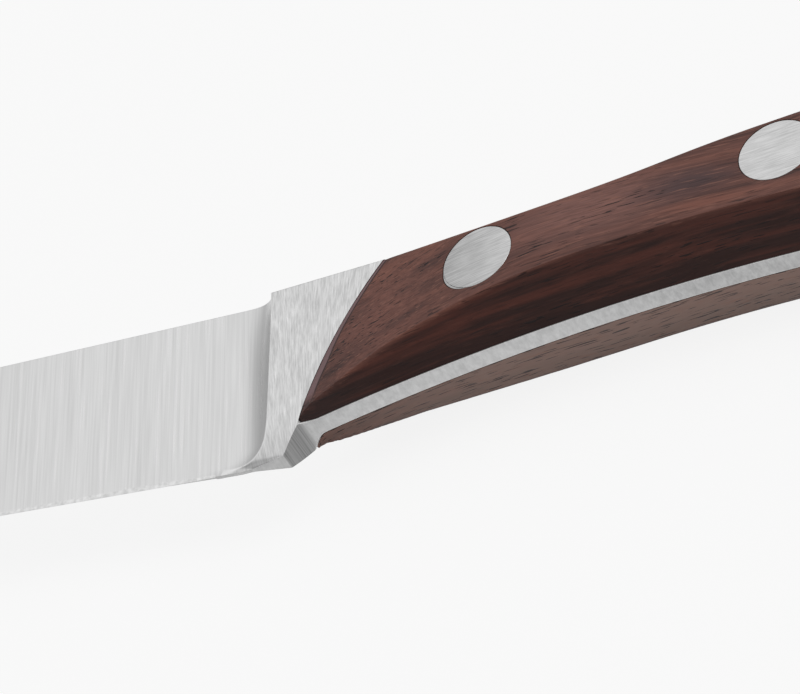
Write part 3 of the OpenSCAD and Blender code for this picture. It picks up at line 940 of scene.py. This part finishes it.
# Patches on the left side (pale, in front, knot, warm): centre, radii, share and colour
WOOD_PATCHES = (
    ((-0.0415, -0.0005, 0.0169), (0.015, 0.006, 0.005), 0.75, (0.26, 0.125, 0.105, 1)),
    ((-0.0705, -0.0015, 0.0150), (0.008, 0.007, 0.008), 0.5, (0.215, 0.088, 0.068, 1)),
    ((-0.0292, -0.0006, 0.0169), (0.0095, 0.0032, 0.005), 0.78, (0.055, 0.036, 0.042, 1)),
    ((-0.0278, -0.0044, 0.0169), (0.0085, 0.0015, 0.004), 0.5, (0.27, 0.098, 0.066, 1)))
FIBRE_COLOUR = (0.06, 0.025, 0.021, 1)
# Painted shade on the left scale's lower facet, and painted light on the right one's
FACET_SHADE_COLOUR, FACET_SHADE_RED = (0.024, 0.0075, 0.006, 1), (0.088, 0.023, 0.0155, 1)
FACET_LIGHT_COLOUR = (0.34, 0.225, 0.185, 1)
FLECK_COLOUR = (0.28, 0.125, 0.09, 1)
PORE_COLOUR = (0.012, 0.006, 0.006, 1)
# Painted sheen on the eased front edge of the scales
BAND_SHEEN_COLOUR = (0.205, 0.125, 0.130, 1)
SEAM_COLOUR = (0.022, 0.008, 0.007, 1)


def ground_steel():
    """Satin steel: fine lines across the blade, and short coarser ones that fan out over the bolster."""
    material, tree = new_material("ground_steel")
    coords = object_coords(tree)
    on_blade = attribute(tree, "on_blade")
    x, y, z = split(tree, coords)
    lean = times(tree, math_node(tree, "ADD", x, FAN_X), y)
    leaned = add(tree, "ShaderNodeMath", {0: lean, 1: FAN_LEAN, 2: x}, operation="MULTIPLY_ADD").outputs[0]
    fan = add(tree, "ShaderNodeCombineXYZ", {0: leaned, 1: y, 2: z}).outputs[0]
    fine = streaks(tree, coords, (3600.0, 60.0, 60.0), detail=2.0)
    broad = streaks(tree, coords, (520.0, 20.0, 30.0), detail=2.0)
    coarse = streaks(tree, fan, (5600.0, 480.0, 480.0), detail=4.0, rough=0.65)
    patch = streaks(tree, fan, (900.0, 300.0, 300.0), detail=2.0)
    blade_lines = weighted(tree, fine, 0.82, broad)
    bolster_lines = weighted(tree, coarse, 0.75, patch)
    lines = add(tree, "ShaderNodeMix", {0: on_blade, 2: bolster_lines, 3: blade_lines},
                data_type="FLOAT").outputs[0]
    dark = mix(tree, on_blade, grey(0.52), grey(0.69))
    pale = mix(tree, on_blade, grey(0.92), grey(0.80))
    colour = mix(tree, ramp(tree, lines, *LINE_RANGE), dark, pale)
    mottle = streaks(tree, coords, (1500.0, 1500.0, 1500.0))
    bevel_colour = mix(tree, ramp(tree, mottle, 0.35, 0.65), grey(0.66), grey(0.92))
    colour = tint(tree, colour, attribute(tree, "on_bevel"), 0.8, bevel_colour)
    # Painted shade: darker grey on the steep wall of the run-out
    wall_shade = map_range(tree, attribute(tree, "on_wall"), 0.2, 0.9, 0.0, 0.5)
    colour = tint(tree, colour, wall_shade, on_blade, grey(0.42))
    # Painted shade: grey on the heel's turn above its underside
    colour = tint(tree, colour, attribute(tree, "on_turn"), 0.6, grey(0.46))
    # Painted highlight: a thin bright line where the run-out meets the bolster's side
    colour = tint(tree, colour, attribute(tree, "line_highlight"), 0.75, grey(0.95))
    tangent = add(tree, "ShaderNodeCombineXYZ", {0: 1.0, 1: 0.0, 2: 0.0}).outputs[0]
    surface(tree, {"Base Color": colour, "Metallic": 1.0, "Anisotropic": 0.55, "Tangent": tangent,
                   "Roughness": map_range(tree, lines, *LINE_RANGE, 0.36, 0.26),
                   "Normal": bump(tree, lines, 0.25, GRIND_DEPTH)})
    return material


def rim_steel():
    """Rim of heel, neck and tang: matte, with fine grinding lines across the thickness and painted shade at
    the heel.
    """
    material, tree = new_material("rim_steel")
    coords = object_coords(tree)
    lines = streaks(tree, coords, (5200.0, 5200.0, 60.0))
    cloud = streaks(tree, coords, (1500.0, 1500.0, 700.0), detail=5.0, rough=0.7)
    behind = ramp(tree, split(tree, coords)[0], *RIM_TONE_X)
    dark = mix(tree, behind, grey(0.51), grey(0.42))
    pale = mix(tree, behind, grey(0.64), grey(0.57))
    plain = mix(tree, ramp(tree, cloud, 0.35, 0.65), dark, pale)
    # Painted shade: darker base colour on the heel's back and underside, under the real grinding lines
    grinding_and_shade = mix(tree, ramp(tree, lines, *LINE_RANGE), grey(0.21), grey(0.39))
    surface(tree, {"Base Color": mix(tree, attribute(tree, "on_heel"), plain, grinding_and_shade), "Metallic": 1.0,
                   "Roughness": 0.45, "Normal": bump(tree, lines, 0.3, GRIND_DEPTH)})
    return material


def rivet_steel():
    """Rivet heads ground flush, with short fine lines along the handle; painted shade darkens the front
    one.
    """
    material, tree = new_material("brushed_rivet")
    coords = object_coords(tree)
    fine = streaks(tree, coords, (280.0, 7000.0, 300.0), rotation=(0, 0, 0.05))
    cloud = streaks(tree, coords, (380.0, 520.0, 300.0))
    lines = weighted(tree, fine, 0.75, cloud)
    # Painted shade: the front rivet is darker at its front, lighter towards the back
    behind = ramp(tree, split(tree, coords)[0], *RIVET_SHADE_X)
    dark = mix(tree, behind, grey(0.38), grey(0.57))
    pale = mix(tree, behind, grey(0.56), grey(0.76))
    surface(tree, {"Base Color": mix(tree, ramp(tree, lines, 0.38, 0.62), dark, pale), "Metallic": 1.0,
                   "Roughness": map_range(tree, lines, *LINE_RANGE, 0.4, 0.3),
                   "Normal": bump(tree, lines, 0.2, RIVET_DEPTH)})
    return material


def bent_grain(tree, coords, x):
    """Coordinates that wave a little and arch along the handle, so that the grain does."""
    wave = add(tree, "ShaderNodeTexNoise", {"Vector": coords, "Scale": WAVE_SCALE, "Detail": 1.0})
    push = vector_node(tree, "SUBTRACT", wave.outputs["Color"], (0.5, 0.5, 0.5))
    push = vector_node(tree, "MULTIPLY", push, WAVE_REACH)
    swing = math_node(tree, "SINE", times(tree, math_node(tree, "ADD", x, ARCH_X), ARCH_TURN))
    arch = add(tree, "ShaderNodeCombineXYZ", {1: times(tree, swing, ARCH_H)}).outputs[0]
    return vector_node(tree, "ADD", vector_node(tree, "ADD", coords, push), arch)


def rosewood():
    """Oiled rosewood: broad dark streaks, fine fibres and short open pores along the handle."""
    material, tree = new_material("oiled_rosewood")
    coords = object_coords(tree)
    x, y, z = split(tree, coords)
    bent = bent_grain(tree, coords, x)
    bands = streaks(tree, bent, (7.0, 230.0, 230.0), GRAIN, detail=2.0)
    veins = streaks(tree, bent, (22.0, 800.0, 800.0), GRAIN)
    fibres = streaks(tree, bent, (160.0, 4600.0, 4600.0), GRAIN)
    pores = streaks(tree, bent, (330.0, 4400.0, 4400.0), GRAIN, detail=1.0, rough=0.4)
    flecks = streaks(tree, bent, (260.0, 4600.0, 4600.0), FLECK_GRAIN, detail=1.0)
    crowd = streaks(tree, bent, (60.0, 300.0, 300.0), GRAIN, detail=1.0)
    tone = weighted(tree, bands, 0.6, veins)
    colour = colour_ramp(tree, tone, WOOD_STOPS)
    for centre, radii, share, patch_colour in WOOD_PATCHES:
        colour = tint(tree, colour, blob(tree, bent, centre, radii), share, patch_colour)
    colour = mix(tree, map_range(tree, fibres, 0.35, 0.65, 0.0, 0.4), colour, FIBRE_COLOUR)
    # The lower facets: painted shade, deep red-brown, on the left scale, and painted light, pale, on the
    # right one
    on_belly = times(tree, attribute(tree, "on_facet"), ramp(tree, y, 0.0, -0.004))
    on_left = ramp(tree, z, MIDDLE_Z - MIDDLE_BLUR, MIDDLE_Z + MIDDLE_BLUR)
    left_facet = times(tree, on_belly, on_left)
    right_facet = math_node(tree, "SUBTRACT", on_belly, left_facet)
    facet_shade = mix(tree, ramp(tree, tone, 0.44, 0.54), FACET_SHADE_COLOUR, FACET_SHADE_RED)
    colour = tint(tree, colour, left_facet, 0.82, facet_shade)
    colour = tint(tree, colour, right_facet, map_range(tree, x, *FACET_LIGHT_X, *FACET_LIGHT), FACET_LIGHT_COLOUR)
    fleck_share = map_range(tree, left_facet, 0.0, 1.0, 1.0, 0.12)
    colour = tint(tree, colour, map_range(tree, flecks, 0.62, 0.68, 0.0, 0.5), fleck_share, FLECK_COLOUR)
    pore_share = math_node(tree, "MAXIMUM", map_range(tree, crowd, 0.4, 0.6, 0.3, 1.0), right_facet)
    open_pores = times(tree, ramp(tree, pores, 0.62, 0.66), pore_share)
    colour = tint(tree, colour, open_pores, 0.9, PORE_COLOUR)
    # Painted sheen: a pale purplish tint over the eased front edge
    colour = tint(tree, colour, attribute(tree, "on_band"), 0.9, BAND_SHEEN_COLOUR)
    colour = mix(tree, attribute(tree, "on_seam"), colour, SEAM_COLOUR)
    height = math_node(tree, "SUBTRACT", times(tree, fibres, 0.25), open_pores)
    surface(tree, {"Base Color": colour, "Roughness": map_range(tree, fibres, *LINE_RANGE, 0.4, 0.55),
                   "Specular IOR Level": 0.22, "Normal": bump(tree, height, 0.4, PORE_DEPTH)})
    return material


# Pieces

wood = rosewood()
blade = forging()
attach(blade, "root")
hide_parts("blade")
for side, is_right in (("left", False), ("right", True)):
    node_name = f"{side}_scale"
    piece = scale(f"{side}_handle", is_right, wood)
    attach(piece, "root")
    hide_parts(node_name)
head_steel = rivet_steel()
for index, place in enumerate(("front", "middle", "rear")):
    for half, is_socket in (("socket", True), ("pin", False)):
        piece = rivet(f"{place}_{half}_head", index, is_socket, head_steel)
        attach(piece, "root")
        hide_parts(f"{place}_rivet_{half}")


# Floor, light and camera, in metres

FLOOR_REACH, FLOOR_Z = 1.5, -0.00005
FLOOR_GREY, FLOOR_GLOW, GLOW_SHARE = 0.86, 0.985, 0.88
SKY_TOWARDS = (-0.25, 0.55, 0.8)
SKY_STOPS = ((0.3, grey(0.36)), (0.57, grey(0.37)), (0.8, grey(0.64)), (0.99, grey(0.94)))
LAMP_AT, LAMP_AIM, LAMP_SIDE, LAMP_WATTS = (0.45, 0.15, 0.75), (-0.06, 0.0, 0.0), 0.6, 2.7
CAMERA_AT = (0.0935, -0.3725, 0.34405)
CAMERA_RIGHT, CAMERA_BACK = (0.9007, 0.0031, -0.4345), (0.3102, -0.7047, 0.6381)
SENSOR_W, LENS = 36.0, 202.5
CLIP_NEAR, CLIP_FAR = 0.01, 20.0


def floor():
    """White floor that keeps the knife's soft shadow."""
    corners = [(-1, -1), (1, -1), (1, 1), (-1, 1)]
    mesh = bpy.data.meshes.new("floor")
    mesh.from_pydata([(x * FLOOR_REACH, y * FLOOR_REACH, FLOOR_Z) for x, y in corners], [], [(0, 1, 2, 3)])
    obj = link("floor", mesh)
    material, tree = new_material("floor")
    path = add(tree, "ShaderNodeLightPath").outputs
    seen = math_node(tree, "ADD", path["Is Camera Ray"], path["Is Glossy Ray"])
    seen = math_node(tree, "ADD", seen, path["Is Transmission Ray"], clamp=True)
    plain = add(tree, "ShaderNodeBsdfDiffuse", {"Color": grey(FLOOR_GREY)}).outputs[0]
    glow = add(tree, "ShaderNodeEmission", {"Color": grey(FLOOR_GLOW), "Strength": 1.0}).outputs[0]
    blend = add(tree, "ShaderNodeMixShader", {0: times(tree, seen, GLOW_SHARE), 1: plain, 2: glow})
    add(tree, "ShaderNodeOutputMaterial", {0: blend.outputs[0]})
    mesh.materials.append(material)


def studio():
    """A soft sky that is brightest above and behind the spine, and one large soft lamp."""
    world = bpy.data.worlds.new("studio")
    bpy.context.scene.world = world
    world.use_nodes = True
    tree = world.node_tree
    tree.nodes.clear()
    direction = add(tree, "ShaderNodeTexCoord").outputs["Generated"]
    towards = tuple(Vector(SKY_TOWARDS).normalized())
    along = add(tree, "ShaderNodeVectorMath", {0: direction, 1: towards}, operation="DOT_PRODUCT")
    light = colour_ramp(tree, along.outputs["Value"], SKY_STOPS)
    sky = add(tree, "ShaderNodeBackground", {"Color": light, "Strength": 1.0})
    add(tree, "ShaderNodeOutputWorld", {0: sky.outputs[0]})
    lamp = bpy.data.lights.new("softbox", "AREA")
    lamp.shape = "RECTANGLE"
    lamp.size = LAMP_SIDE
    lamp.size_y = LAMP_SIDE
    lamp.energy = LAMP_WATTS
    holder = link("softbox", lamp)
    holder.location = LAMP_AT
    aim = Vector(LAMP_AIM) - holder.location
    holder.rotation_euler = aim.to_track_quat("-Z", "Y").to_euler()


def camera():
    """Long lens above the edge's side, with the knife rising to the right."""
    data = bpy.data.cameras.new("camera")
    data.sensor_fit = "HORIZONTAL"
    data.sensor_width = SENSOR_W
    data.lens = LENS
    data.clip_start = CLIP_NEAR
    data.clip_end = CLIP_FAR
    obj = link("camera", data)
    right = Vector(CAMERA_RIGHT).normalized()
    back = Vector(CAMERA_BACK).normalized()
    up = back.cross(right).normalized()
    right = up.cross(back)
    pose = Matrix((right, up, back)).transposed().to_4x4()
    pose.translation = CAMERA_AT
    obj.matrix_world = pose
    bpy.context.scene.camera = obj


floor()
studio()
camera()
bpy.context.scene.view_settings.view_transform = "Standard"
